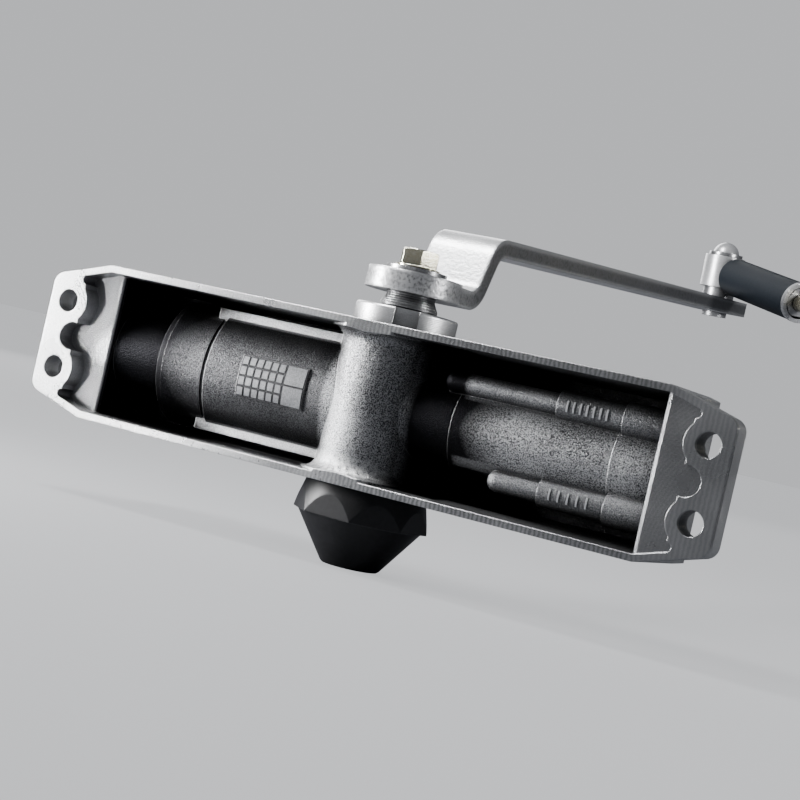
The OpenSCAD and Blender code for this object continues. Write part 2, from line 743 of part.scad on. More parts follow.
module main_arm() {
    corner = 4;
    far_s = elbow_s + arm_tail;
    color("lightgray") at_arm() difference() {
        union() {
            intersection() {
                along_x(-arm_w / 2, arm_w / 2) arm_side();
                along_z(arm_z - over, elbow_h + 2 * arm_t) {
                    translate([-arm_w / 2, 0]) square([arm_w, far_s - corner]);
                    translate([corner - arm_w / 2, 0]) square([arm_w - 2 * corner, far_s]);
                    for (s = [-1, 1]) translate([s * (arm_w / 2 - corner), far_s - corner]) circle(corner);
                }
            }
            translate([0, 0, arm_z]) cylinder(h = head_t, r = head_r);
        }
        translate([0, 0, arm_z]) cube([square_af + 0.1, square_af + 0.1, 4 * head_t], center = true);
        translate([0, elbow_s, elbow_h]) rotate([strip_slope, 0, 0])
            translate([0, 0, -2 * arm_t]) cylinder(h = 3 * arm_t, r = pin_r + 0.02);
    }
}

module arm_washer() { color("silver") at_arm() ring_z(arm_top, arm_top + washer_t, washer_r, 3.2); }

module arm_bolt() {
    seat = arm_top + washer_t;
    corner = bolt_af / 2 / cos(30);
    color("khaki") at_arm() {
        translate([0, 0, seat - bolt_len + 6]) cylinder(h = bolt_len - 6, r = bolt_thread_r);
        translate([0, 0, seat]) cylinder(h = 0.7, r = corner + 0.6);
        intersection() {
            rotate([0, 0, 4]) translate([0, 0, seat + 0.6]) cylinder(h = bolt_h - 0.6, r = corner, $fn = 6);
            translate([0, 0, seat]) rotate_extrude() polygon([
                [0, 0], [corner + 0.1, 0], [corner + 0.1, bolt_h - 0.6], [corner - 0.7, bolt_h], [0, bolt_h]
            ]);
        }
    }
}

// ---------- elbow ----------
module elbow_collar() { color("silver") at_elbow() ring_z(0, collar_h - 0.1, 6, pin_r + 0.02); }

// Headed pin, peened over below the strip
module elbow_pin() {
    seat = collar_h + knuckle[1] + 0.1 + elbow_washer[1];
    ball = (dome[0] * dome[0] + dome[1] * dome[1]) / 2 / dome[1];
    color("silver") at_elbow() {
        translate([0, 0, -arm_t - 1.6]) cylinder(h = seat + arm_t + 1.7, r = pin_r);
        translate([0, 0, -arm_t - 1.8]) cylinder(h = 1.8, r = pin_r + 1.6);
        intersection() {
            translate([0, 0, seat + dome[1] - ball]) sphere(ball);
            translate([0, 0, seat]) cylinder(h = 2 * dome[1], r = dome[0]);
        }
    }
}

module elbow_washer() {
    low = collar_h + knuckle[1] + 0.1;
    color("silver") at_elbow() ring_z(low, low + elbow_washer[1], elbow_washer[0], pin_r + 0.02);
}

// Knuckle that turns on the pin, with the threaded socket for the rod
module knuckle_socket() {
    color("silver") difference() {
        union() {
            at_elbow() translate([0, 0, collar_h]) cylinder(h = knuckle[1], r = knuckle[0]);
            at_forearm() rod_x(0, socket_end, neck_r);
        }
        at_elbow() cylinder(h = 4 * knuckle[1], r = pin_r + run_gap);
        at_forearm() rod_x(knuckle[0] + 4, socket_end + over, rod_r + run_gap);
    }
}

module sleeve() {
    round = 1.2;
    inner = neck_r + 0.02;
    start = knuckle[0] * cos(fore_drop) + knuckle[1] / 2 * sin(fore_drop) + 0.3;
    color("darkslategray") at_forearm() rotate([0, 90, 0]) rotate_extrude() difference() {
        union() {
            translate([inner, start + round]) square([sleeve_r - inner, sleeve_end - start - round]);
            translate([inner, start]) square([sleeve_r - round - inner, round + over]);
            translate([sleeve_r - round, start + round]) circle(round);
        }
        translate([0, socket_end]) square([sleeve_r - 1.2, sleeve_end]);
    }
}

module sleeve_ring() {
    color("silver") at_forearm() difference() {
        rod_x(sleeve_end + 0.02, sleeve_end + 1.8, sleeve_r + 0.2);
        rod_x(sleeve_end - over, sleeve_end + 3, sleeve_r - 1.2);
    }
}

module jam_nut() {
    corner = nut_af / 2 / cos(30);
    color("silver") at_forearm() difference() {
        intersection() {
            translate([socket_end + 0.05, 0, 0]) rotate([0, 90, 0]) rotate([0, 0, 30])
                cylinder(h = nut_t, r = corner, $fn = 6);
            translate([socket_end, 0, 0]) rotate([0, 90, 0]) rotate_extrude() polygon([
                [0, 0], [corner + 0.1, 0], [corner + 0.1, nut_t - 0.5],
                [corner - 0.6, nut_t + 0.1], [0, nut_t + 0.1]
            ]);
        }
        rod_x(socket_end - over, socket_end + nut_t + over, rod_r + run_gap);
    }
}

// Threaded rod that ends in a flat eye
module rod() {
    color("tan") difference() {
        union() {
            at_forearm() rod_x(rod_start, fore_len - eye[0] + 0.8, rod_r);
            at_bracket() cylinder(h = eye[1], r = eye[0], center = true);
        }
        at_bracket() cylinder(h = 2 * eye[1], r = pin_r + run_gap, center = true);
    }
}

// ---------- frame bracket ----------
module bracket() {
    top = -eye[1] / 2 - 0.1;
    half_w = 11;
    round = 3;
    color("lightgray") at_bracket() difference() {
        union() {
            along_z(top - tongue_t, top) {
                circle(half_w);
                translate([-half_w, -reach]) square([2 * half_w, reach]);
            }
            along_y(-reach, base[2] - reach) {
                translate([-base[0] / 2, top - base[1] / 2 + round]) square([base[0], base[1] - 2 * round]);
                translate([round - base[0] / 2, top - base[1] / 2]) square([base[0] - 2 * round, base[1]]);
                for (sx = [-1, 1], sz = [-1, 1])
                    translate([sx * (base[0] / 2 - round), top + sz * (base[1] / 2 - round)]) circle(round);
            }
        }
        cylinder(h = 2 * eye[1] + 4 * tongue_t, r = pin_r + 0.02, center = true);
        for (s = [-1, 1]) translate([s * bracket_pitch / 2, over - reach + base[2], top])
            rotate([90, 0, 0]) cylinder(h = base[2] + 2 * over, d = bracket_hole_d);
    }
}

module bracket_pin() {
    low = -eye[1] / 2 - 0.1 - tongue_t;
    high = eye[1] / 2 + 1.3;
    color("silver") at_bracket() {
        translate([0, 0, low - 1]) cylinder(h = high - low + 1.5, r = pin_r);
        translate([0, 0, low - 1.6]) cylinder(h = 1.6, r = pin_r + 1.8);
        translate([0, 0, high]) cylinder(h = 2.2, r = pin_r + 1.6);
    }
}

module bracket_washer() {
    low = eye[1] / 2 + 0.1;
    color("silver") at_bracket() ring_z(low, low + 1.2, eye[0] - 1.8, pin_r + 0.02);
}

housing();
end_plug_left();
end_plug_right();
plug_rings();
pinion();
bearing_top();
bearing_bottom();
seal_top();
seal_bottom();
cap_top();
cap_bottom();
dust_collar();
piston();
piston_rings();
check_ball();
check_retainer();
main_spring();
closing_valve();
closing_ring();
latch_valve();
latch_ring();
spindle_cap();
main_arm();
arm_washer();
arm_bolt();
elbow_collar();
elbow_pin();
elbow_washer();
knuckle_socket();
sleeve();
sleeve_ring();
jam_nut();
rod();
bracket();
bracket_pin();
bracket_washer();
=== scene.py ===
import bmesh, bpy, math
from mathutils import Matrix, Vector


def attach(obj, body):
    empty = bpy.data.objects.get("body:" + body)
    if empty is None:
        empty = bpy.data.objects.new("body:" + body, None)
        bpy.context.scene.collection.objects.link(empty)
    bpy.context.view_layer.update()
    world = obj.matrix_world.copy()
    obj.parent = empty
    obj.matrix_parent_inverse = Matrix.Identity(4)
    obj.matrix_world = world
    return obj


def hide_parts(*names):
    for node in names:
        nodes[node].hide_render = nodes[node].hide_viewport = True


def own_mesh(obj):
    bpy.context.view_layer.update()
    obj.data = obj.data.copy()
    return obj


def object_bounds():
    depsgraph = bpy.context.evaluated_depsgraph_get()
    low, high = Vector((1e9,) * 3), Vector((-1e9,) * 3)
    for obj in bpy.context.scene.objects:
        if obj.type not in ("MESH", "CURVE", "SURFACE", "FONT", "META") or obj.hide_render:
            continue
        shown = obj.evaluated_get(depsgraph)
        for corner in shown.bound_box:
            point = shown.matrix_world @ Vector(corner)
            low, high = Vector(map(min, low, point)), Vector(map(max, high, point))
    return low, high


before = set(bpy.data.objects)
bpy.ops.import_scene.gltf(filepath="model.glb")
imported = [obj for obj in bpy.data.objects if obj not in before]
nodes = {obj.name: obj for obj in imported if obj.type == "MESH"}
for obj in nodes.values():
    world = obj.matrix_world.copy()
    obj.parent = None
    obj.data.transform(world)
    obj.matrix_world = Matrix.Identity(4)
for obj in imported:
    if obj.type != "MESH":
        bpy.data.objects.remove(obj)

cad_box = [list(corner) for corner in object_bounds()]

# ------------------------------------------------------------------------------------------
# Camera: a close, rolled view into the open back of the body, almost level with its middle
# and a little to the valve side, so that the far arm runs out at the right of the frame.
# ------------------------------------------------------------------------------------------
lens = bpy.data.cameras.new("camera")
lens.lens, lens.sensor_width = 81.2, 36.0
lens.clip_start, lens.clip_end = 0.01, 50.0
camera = bpy.data.objects.new("camera", lens)
pan = Matrix.Rotation(math.radians(26.23), 4, "Z")
tilt = Matrix.Rotation(math.radians(89.76), 4, "X")
roll = Matrix.Rotation(math.radians(12.98), 4, "Z")
camera.matrix_world = Matrix.Translation((0.21713, -0.41316, 0.00527)) @ pan @ tilt @ roll
bpy.context.collection.objects.link(camera)
bpy.context.scene.camera = camera


# ------------------------------------------------------------------------------------------
# Studio: a broad key close to the left end, so the light falls away towards the valve end, a
# top light for the arm, weak fills all round, and a plain pale floor that meets a pale surround.
# ------------------------------------------------------------------------------------------
def softbox(name, place, aim, width, height, watts, spread=180.0):
    data = bpy.data.lights.new(name, "AREA")
    data.shape, data.spread = "RECTANGLE", math.radians(spread)
    data.size, data.size_y, data.energy = width, height, watts
    box = bpy.data.objects.new(name, data)
    box.location = place
    box.rotation_euler = (Vector(aim) - Vector(place)).to_track_quat("-Z", "Y").to_euler()
    bpy.context.collection.objects.link(box)


softbox("key_left", (-0.30, -0.115, 0.040), (-0.02, 0.01, 0.0), 0.09, 0.12, 1.3, 120.0)
softbox("shelf_light", (-0.150, -0.160, -0.030), (-0.090, 0.006, -0.002), 0.03, 0.03, 0.010, 34.0)
softbox("top_arm", (-0.20, -0.10, 0.40), (0.02, 0.06, 0.03), 0.16, 0.16, 3.0)
softbox("right_kick", (0.55, 0.06, 0.16), (0.0, 0.02, 0.04), 0.10, 0.10, 1.6)
softbox("fill_front", (0.05, -0.90, 0.40), (0.02, 0.0, 0.0), 0.6, 0.5, 0.5)
softbox("fill_behind", (-0.80, 1.00, 0.50), (0.0, 0.10, 0.0), 0.9, 0.7, 9.0)

surround_tone = (0.60, 0.61, 0.63, 1.0)
world = bpy.data.worlds.new("studio")
world.use_nodes = True
sky = world.node_tree
ambient = sky.nodes["Background"]
ambient.inputs["Color"].default_value = (0.85, 0.90, 1.0, 1.0)
ambient.inputs["Strength"].default_value = 0.10
seen = sky.nodes.new("ShaderNodeBackground")
seen.inputs["Color"].default_value = surround_tone
either = sky.nodes.new("ShaderNodeMixShader")
sky.links.new(sky.nodes.new("ShaderNodeLightPath").outputs["Is Camera Ray"], either.inputs[0])
sky.links.new(ambient.outputs[0], either.inputs[1])
sky.links.new(seen.outputs[0], either.inputs[2])
sky.links.new(either.outputs[0], sky.nodes["World Output"].inputs["Surface"])
bpy.context.scene.world = world

floor_z = cad_box[0][2]
floor_mesh = bpy.data.meshes.new("floor")
floor_half = 20.0
square = ((-1, -1), (1, -1), (1, 1), (-1, 1))
floor_mesh.from_pydata([(sx * floor_half, sy * floor_half, floor_z) for sx, sy in square], [], [(0, 1, 2, 3)])
floor = bpy.data.objects.new("floor", floor_mesh)
bpy.context.collection.objects.link(floor)
pale = bpy.data.materials.new("pale_floor")
pale.use_nodes = True
paper = pale.node_tree
matt = paper.nodes["Principled BSDF"]
matt.inputs["Base Color"].default_value = (0.13, 0.131, 0.136, 1.0)
matt.inputs["Roughness"].default_value = 0.95
matt.inputs["Specular IOR Level"].default_value = 0.1
glow = paper.nodes.new("ShaderNodeEmission")
glow.inputs["Color"].default_value = surround_tone
glow.inputs["Strength"].default_value = 1.06
both = paper.nodes.new("ShaderNodeAddShader")
either = paper.nodes.new("ShaderNodeMixShader")
paper.links.new(matt.outputs[0], both.inputs[0])
paper.links.new(glow.outputs[0], both.inputs[1])
paper.links.new(paper.nodes.new("ShaderNodeLightPath").outputs["Is Camera Ray"], either.inputs[0])
dim = paper.nodes.new("ShaderNodeBsdfDiffuse")
dim.inputs["Color"].default_value = (0.16, 0.165, 0.18, 1.0)
paper.links.new(dim.outputs[0], either.inputs[1])
paper.links.new(both.outputs[0], either.inputs[2])
paper.links.new(either.outputs[0], paper.nodes["Material Output"].inputs["Surface"])
floor_mesh.materials.append(pale)


# ------------------------------------------------------------------------------------------
# Housing: one aluminium die casting, shot-blasted all over and open at the back. The rim, the
# lug lands and the valve end's face are ground flat afterwards, so they come out brighter and
# carry the cutter's marks. Painted shadow and painted shade darken the deep pockets, and painted
# light brightens the shelf, the web bars and the foot of the boss.
# ------------------------------------------------------------------------------------------
def put(tree, value, socket):
    """Joins a value, a colour or another socket to a socket."""
    if isinstance(value, (int, float)):
        socket.default_value = value
    elif isinstance(value, tuple):
        socket.default_value = (*value, 1.0) if len(socket.default_value) == 4 else value
    else:
        tree.links.new(value, socket)


def reckon(tree, operation, a, b=0.0, clamp=False):
    sum_node = tree.nodes.new("ShaderNodeMath")
    sum_node.operation, sum_node.use_clamp = operation, clamp
    put(tree, a, sum_node.inputs[0])
    put(tree, b, sum_node.inputs[1])
    return sum_node.outputs[0]


def over(tree, value, limit, soft):
    """0 up to limit, rising to 1 over the soft width."""
    return reckon(tree, "DIVIDE", reckon(tree, "SUBTRACT", value, limit), soft, True)


def under(tree, value, limit, soft):
    """1 up to limit, falling to 0 over the soft width."""
    return reckon(tree, "SUBTRACT", 1.0, over(tree, value, limit, soft))


def every(tree, *masks):
    """1 only where all the masks are 1."""
    whole = masks[0]
    for mask in masks[1:]:
        whole = reckon(tree, "MULTIPLY", whole, mask)
    return whole


def tint(tree, share, low, high):
    """The low colour where the share is 0, the high colour where it is 1."""
    mix = tree.nodes.new("ShaderNodeMix")
    mix.data_type = "RGBA"
    put(tree, share, mix.inputs[0])
    put(tree, low, mix.inputs[6])
    put(tree, high, mix.inputs[7])
    return mix.outputs[2]


def mottle(tree, point, size, detail=2.0):
    """Noise whose spots are about one size across, in metres."""
    noise = tree.nodes.new("ShaderNodeTexNoise")
    noise.inputs["Scale"].default_value = 1.0 / size
    noise.inputs["Detail"].default_value = detail
    tree.links.new(point, noise.inputs["Vector"])
    return noise.outputs[0]


def start_group(name, inputs, outputs):
    """Opens a shared node group with named sockets; kinds are f, c and v."""
    tree = bpy.data.node_groups.new(name, "ShaderNodeTree")
    kinds = {"f": "NodeSocketFloat", "c": "NodeSocketColor", "v": "NodeSocketVector"}
    for title, kind in inputs:
        tree.interface.new_socket(title, in_out="INPUT", socket_type=kinds[kind])
    for title, kind in outputs:
        tree.interface.new_socket(title, in_out="OUTPUT", socket_type=kinds[kind])
    return tree, tree.nodes.new("NodeGroupInput").outputs, tree.nodes.new("NodeGroupOutput").inputs


# Skin shared by all the finishes: fine grain between two tones over a broad mottling
skin_group, given, made = start_group(
    "metal_skin",
    (("Point", "v"), ("Grain", "f"), ("Dark Tone", "c"), ("Light Tone", "c"), ("Contrast", "f"),
     ("Roughness", "f")),
    (("Colour", "c"), ("Roughness", "f"), ("Height", "f")))
fine = skin_group.nodes.new("ShaderNodeTexNoise")
fine.inputs["Detail"].default_value = 2.0
skin_group.links.new(given["Point"], fine.inputs["Vector"])
skin_group.links.new(reckon(skin_group, "DIVIDE", 1.0, given["Grain"]), fine.inputs["Scale"])
broad = mottle(skin_group, given["Point"], 0.014, 4.0)
grit = reckon(skin_group, "MULTIPLY", reckon(skin_group, "SUBTRACT", fine.outputs[0], 0.5), given["Contrast"])
drift = reckon(skin_group, "SUBTRACT", broad, 0.5)
share = reckon(skin_group, "ADD", reckon(skin_group, "ADD", grit, drift), 0.5, True)
put(skin_group, tint(skin_group, share, given["Dark Tone"], given["Light Tone"]), made["Colour"])
put(skin_group, reckon(skin_group, "ADD", given["Roughness"], reckon(skin_group, "MULTIPLY", drift, 0.25)),
    made["Roughness"])
put(skin_group, fine.outputs[0], made["Height"])

# Edge wear: how far a rounded edge turns away from the flat face beside it, and the rounded normal
edge_group, given, made = start_group("edge_wear", (("Radius", "f"),), (("Worn", "f"), ("Normal", "v")))
rounded = edge_group.nodes.new("ShaderNodeBevel")
rounded.samples = 4
skin_normal = edge_group.nodes.new("ShaderNodeNewGeometry").outputs["Normal"]
agree = edge_group.nodes.new("ShaderNodeVectorMath")
agree.operation = "DOT_PRODUCT"
edge_group.links.new(given["Radius"], rounded.inputs["Radius"])
edge_group.links.new(rounded.outputs[0], agree.inputs[0])
edge_group.links.new(skin_normal, agree.inputs[1])
put(edge_group, under(edge_group, agree.outputs["Value"], 0.86, 0.10), made["Worn"])
put(edge_group, rounded.outputs[0], made["Normal"])

# Recess: painted shade, darkening the colour where two walls face each other closely
recess_group, given, made = start_group("recess_painted_shade", (("Reach", "f"), ("Depth", "f")), (("Open", "f"),))
nearby = recess_group.nodes.new("ShaderNodeAmbientOcclusion")
nearby.samples = 8
recess_group.links.new(given["Reach"], nearby.inputs["Distance"])
put(recess_group, reckon(recess_group, "POWER", nearby.outputs["AO"], given["Depth"]), made["Open"])


class Finish:
    """A material in the making: the shared skin, worn edges and painted shade in recesses, ready for its own
    extras.
    """

    def __init__(self, name, metallic, grain, dark, light, contrast, rough):
        self.material = bpy.data.materials.new(name)
        self.material.use_nodes = True
        self.tree = self.material.node_tree
        self.shader = self.tree.nodes["Principled BSDF"]
        self.shader.inputs["Metallic"].default_value = metallic
        self.point = self.tree.nodes.new("ShaderNodeTexCoord").outputs["Object"]
        self.skin = self.place(skin_group, {"Point": self.point, "Grain": grain, "Dark Tone": dark,
                                            "Light Tone": light, "Contrast": contrast, "Roughness": rough})
        self.colour, self.rough, self.height = (self.skin[key] for key in ("Colour", "Roughness", "Height"))

    def place(self, group, values):
        """Puts a shared group into the material and fills its inputs by name."""
        holder = self.tree.nodes.new("ShaderNodeGroup")
        holder.node_tree = group
        for key, value in values.items():
            put(self.tree, value, holder.inputs[key])
        return holder.outputs

    def axes(self):
        """The three object coordinates, each as a socket."""
        split = self.tree.nodes.new("ShaderNodeSeparateXYZ")
        self.tree.links.new(self.point, split.inputs[0])
        return split.outputs

    def close(self, names, bump=0.3, grain_height=0.00008, edge=0.0003, worn=(0.9, 0.9, 0.9), wear=0.5,
              reach=0.01, depth=1.0):
        """Adds wear, shade and bump, joins all to the shader and dresses the named pieces."""
        tree, normal = self.tree, None
        if edge:
            edges = self.place(edge_group, {"Radius": edge})
            self.colour = tint(tree, reckon(tree, "MULTIPLY", edges["Worn"], wear), self.colour, worn)
            normal = edges["Normal"]
        if depth != 0:
            # painted shade: the colour goes towards black where walls face each other closely
            room = self.place(recess_group, {"Reach": reach, "Depth": depth})["Open"]
            self.colour = tint(tree, room, (0.0, 0.0, 0.0), self.colour)
        bumped = tree.nodes.new("ShaderNodeBump")
        bumped.inputs["Strength"].default_value = bump
        bumped.inputs["Distance"].default_value = grain_height
        tree.links.new(self.height, bumped.inputs["Height"])
        if normal:
            tree.links.new(normal, bumped.inputs["Normal"])
        tree.links.new(bumped.outputs[0], self.shader.inputs["Normal"])
        put(tree, self.colour, self.shader.inputs["Base Color"])
        put(tree, self.rough, self.shader.inputs["Roughness"])
        for name in names:
            nodes[name].data.materials.clear()
            nodes[name].data.materials.append(self.material)
        return self.material


# Landmarks of the open back: along the body (x), in depth (y) and off its middle (z)
shelf_edge, block_edge = -0.0830, 0.0823
pocket_half, pocket_end, pocket_floor = 0.0202, 0.0838, 0.0300
left_neck_end, right_neck_start, right_neck_end = -0.0640, 0.0105, 0.0282
roof_start, roof_end, roof_crown, roof_foot = -0.0700, -0.0125, 0.0040, 0.0106
web_start, web_end, web_front, web_back = -0.058, -0.012, 0.0108, 0.0118
rib_start, rib_side, rib_foot = 0.0265, 0.0072, 0.0112
plate_x, plate_z = (-0.0380, -0.0170), (-0.0054, 0.0058)
crisp = 0.0002

cast = Finish("blasted_aluminium", 0.80, 0.00030, (0.04, 0.041, 0.043), (0.48, 0.485, 0.495), 4.2, 0.38)
tree = cast.tree
along, depth, height = cast.axes()
height_sq = reckon(tree, "MULTIPLY", height, height)
off_middle = reckon(tree, "ABSOLUTE", height)
between_walls = under(tree, off_middle, pocket_half, crisp)

# ground faces, with cross marks from the cutter towards the valve end and a few open pores
marks = tree.nodes.new("ShaderNodeTexWave")
marks.inputs["Scale"].default_value = 260.0
marks.inputs["Distortion"].default_value = 3.0
marks.inputs["Detail Scale"].default_value = 3.0
tree.links.new(cast.point, marks.inputs["Vector"])
# painted shade: the ground faces go from light at the left end to dark towards the valve end, as the light
# falls away
ground_painted_falloff = tint(tree, over(tree, along, -0.06, 0.12), (0.74, 0.745, 0.75), (0.34, 0.345, 0.355))
swept = reckon(tree, "SUBTRACT", 0.8, reckon(tree, "MULTIPLY", over(tree, along, 0.080, 0.006), 0.5))
swept = every(tree, marks.outputs["Fac"], over(tree, along, -0.03, 0.05), swept)
cut = tint(tree, swept, ground_painted_falloff, (0.09, 0.092, 0.098))
pores = over(tree, mottle(tree, cast.point, 0.0016, 3.0), 0.63, 0.03)
pores = every(tree, pores, under(tree, height, -0.0195, 0.0005), under(tree, along, 0.0, 0.02), 0.8)
cut = tint(tree, pores, cut, (0.10, 0.10, 0.105))
speckle = reckon(tree, "SUBTRACT", mottle(tree, cast.point, 0.0005, 3.0), 0.36)
cut = tint(tree, reckon(tree, "MULTIPLY", speckle, 1.6, True), cut, (0.30, 0.303, 0.31))
ground = under(tree, depth, 0.00030, 0.00010)

# the valve end's face: milled in wide arcs round a far centre
swing = tree.nodes.new("ShaderNodeMapping")
swing.inputs["Location"].default_value = (-0.128, 0.0, 0.022)
tree.links.new(cast.point, swing.inputs["Vector"])
arcs = tree.nodes.new("ShaderNodeTexWave")
arcs.wave_type, arcs.rings_direction = "RINGS", "Y"
arcs.inputs["Scale"].default_value = 330.0
arcs.inputs["Distortion"].default_value = 1.2
tree.links.new(swing.outputs[0], arcs.inputs["Vector"])
milled = tint(tree, reckon(tree, "MULTIPLY", arcs.outputs["Fac"], 0.25),
              (0.34, 0.343, 0.35), (0.50, 0.505, 0.515))
specks = reckon(tree, "MULTIPLY", mottle(tree, cast.point, 0.0003), 0.8)
milled = tint(tree, specks, milled, (0.15, 0.152, 0.158))
block = every(tree, under(tree, depth, 0.0014, crisp), over(tree, along, block_edge - 0.0002, 0.0001),
              between_walls)
shelf = every(tree, under(tree, depth, 0.0066, 0.0003), under(tree, along, shelf_edge + 0.0016, crisp),
              between_walls)

# the pockets: painted shadow, near black, at the left end of the spring side and beside the boss,
# bounded by curved edges, and painted shade deeper down towards their floors; the outside stays plain
inside = every(tree, between_walls, under(tree, depth, pocket_floor, 0.0005),
               under(tree, reckon(tree, "ABSOLUTE", along), pocket_end, 0.0004))
left_shadow_bow = reckon(tree, "SUBTRACT", along, reckon(tree, "MULTIPLY", height_sq, 45.0))
left_painted_shadow = every(tree, over(tree, depth, 0.0046, 0.0006), over(tree, along, shelf_edge + 0.0008, 0.0004),
                  under(tree, left_shadow_bow, left_neck_end, 0.0120))
right_shadow_bow = reckon(tree, "SUBTRACT", along, reckon(tree, "MULTIPLY", height_sq, 60.0))
right_painted_shadow = every(tree, over(tree, depth, 0.0040, 0.0020), over(tree, along, right_neck_start, 0.0035),
                   under(tree, right_shadow_bow, right_neck_end, 0.0120))
floor_painted_shade = over(tree, depth, 0.0115, 0.0060)
ribs = every(tree, inside, over(tree, off_middle, rib_side, 0.0006), under(tree, depth, rib_foot, 0.0006),
             over(tree, along, rib_start, 0.0020))
right_painted_shadow = every(tree, right_painted_shadow, reckon(tree, "SUBTRACT", 1.0, ribs))
ends_painted_shadow = reckon(tree, "MAXIMUM", left_painted_shadow, right_painted_shadow)
dark = every(tree, inside, reckon(tree, "MAXIMUM", ends_painted_shadow, every(tree, floor_painted_shade, 0.75)))
plate = every(tree, over(tree, along, plate_x[0], crisp), under(tree, along, plate_x[1] - crisp, crisp),
              over(tree, height, plate_z[0], crisp), under(tree, height, plate_z[1] - crisp, crisp),
              under(tree, depth, 0.0060, 0.0004))
webs = every(tree, inside, over(tree, depth, web_front, 0.0003), under(tree, depth, web_back, 0.0003),
             over(tree, along, web_start, 0.016), under(tree, along, web_end, 0.001))
roof = every(tree, inside, under(tree, depth, roof_foot, 0.0004), over(tree, depth, roof_crown, crisp),
             over(tree, along, roof_start, 0.0020), under(tree, along, roof_end, 0.0020))

# tones of the blasted skin in their order: painted shade on the roof, painted light on the shelf and
# the web bars, the shelf's grain, a painted highlight at the boss's foot, the ribs, the plate and the
# pockets' painted shadow
# painted shade: the spring side's roof is painted darker, the more so towards its sides
roof_painted_shade = reckon(tree, "ADD", 0.73, reckon(tree, "MULTIPLY", over(tree, off_middle, 0.0030, 0.0120), 0.25))
outside = reckon(tree, "MULTIPLY", reckon(tree, "SUBTRACT", 0.72, inside), 1.0, True)
tone = tint(tree, outside, cast.colour, (0.46, 0.465, 0.475))
tone = tint(tree, every(tree, roof, roof_painted_shade), tone, (0.012, 0.012, 0.014))
# painted light: the shelf and the web bars are painted pale, the web bars fading in from the left
lit = reckon(tree, "MAXIMUM", reckon(tree, "MULTIPLY", shelf, 0.58), reckon(tree, "MULTIPLY", webs, 0.4))
tone = tint(tree, lit, tone, (0.84, 0.845, 0.86))
grainy = reckon(tree, "SUBTRACT", mottle(tree, cast.point, 0.0005, 3.0), 0.40)
grainy = reckon(tree, "MULTIPLY", grainy, 2.2, True)
tone = tint(tree, every(tree, shelf, grainy, 0.5), tone, (0.30, 0.303, 0.31))
# painted highlight: a broken pale patch at the foot of the boss
boss_foot_highlight = every(tree, inside, under(tree, height, -0.0160, 0.0025), under(tree, depth, 0.0105, 0.0020),
                under(tree, reckon(tree, "ABSOLUTE", reckon(tree, "ADD", along, 0.001)), 0.0080, 0.0060))
boss_foot_highlight = every(tree, boss_foot_highlight, over(tree, mottle(tree, cast.point, 0.0012, 4.0), 0.30, 0.40))
tone = tint(tree, boss_foot_highlight, tone, (0.92, 0.925, 0.93))
tone = tint(tree, reckon(tree, "MULTIPLY", ribs, 0.6), tone, (0.13, 0.132, 0.138))
tone = tint(tree, reckon(tree, "MULTIPLY", plate, 0.85), tone, (0.03, 0.03, 0.032))
# painted shadow and shade: the pockets are painted near black
tone = tint(tree, reckon(tree, "MULTIPLY", dark, 0.99), tone, (0.004, 0.004, 0.005))
tone = tint(tree, block, tone, milled)
cast.colour = tint(tree, ground, tone, cut)
flat = reckon(tree, "MAXIMUM", ground, block)
cast.rough = reckon(tree, "ADD", cast.rough, reckon(tree, "MULTIPLY", flat, -0.08))
rough_share = reckon(tree, "SUBTRACT", 1.0, reckon(tree, "MULTIPLY", flat, 0.7))
cast.height = reckon(tree, "MULTIPLY", cast.height, rough_share)
put(tree, reckon(tree, "MAXIMUM", dark, 0.88), cast.shader.inputs["Metallic"])
# painted shade in recesses, weaker on the valve end's face, the shelf and the web bars
clear = reckon(tree, "MAXIMUM", block, reckon(tree, "MULTIPLY", reckon(tree, "MAXIMUM", shelf, webs), 0.55))
shade = reckon(tree, "MULTIPLY", reckon(tree, "SUBTRACT", 1.0, reckon(tree, "MULTIPLY", clear, 0.8)), 1.3)
# edge wear, weaker towards the valve end
edge_wear_share = reckon(tree, "SUBTRACT", 0.45, reckon(tree, "MULTIPLY", over(tree, along, -0.010, 0.030), 0.28))
cast.close(["housing"], bump=0.9, grain_height=0.00018, edge=0.00045, worn=(0.86, 0.865, 0.875), wear=edge_wear_share,
           reach=0.010, depth=shade)


# ------------------------------------------------------------------------------------------
# Date plate: four rows of small raised cells and two large ones beside them, cast on the crown
# of the spring side's roof from an insert in the die. All the cells are blank.
# ------------------------------------------------------------------------------------------
def low_pad(name, width, tall, rise, taper):
    """A low pad with sloped sides, raised towards the open back and fine enough to be bent."""
    mesh = bpy.data.meshes.new(name)
    pad = bmesh.new()
    foot = [pad.verts.new((sx * width / 2, rise, sz * tall / 2)) for sx, sz in square]
    top = [pad.verts.new((sx * (width / 2 - taper), -rise, sz * (tall / 2 - taper))) for sx, sz in square]
    pad.faces.new(top)
    pad.faces.new(foot[::-1])
    for i in range(4):
        j = (i + 1) % 4
        pad.faces.new((foot[i], foot[j], top[j], top[i]))
    bmesh.ops.subdivide_edges(pad, edges=pad.edges, cuts=5, use_grid_fill=True)
    bmesh.ops.recalc_face_normals(pad, faces=pad.faces)
    pad.to_mesh(mesh)
    pad.free()
    return mesh


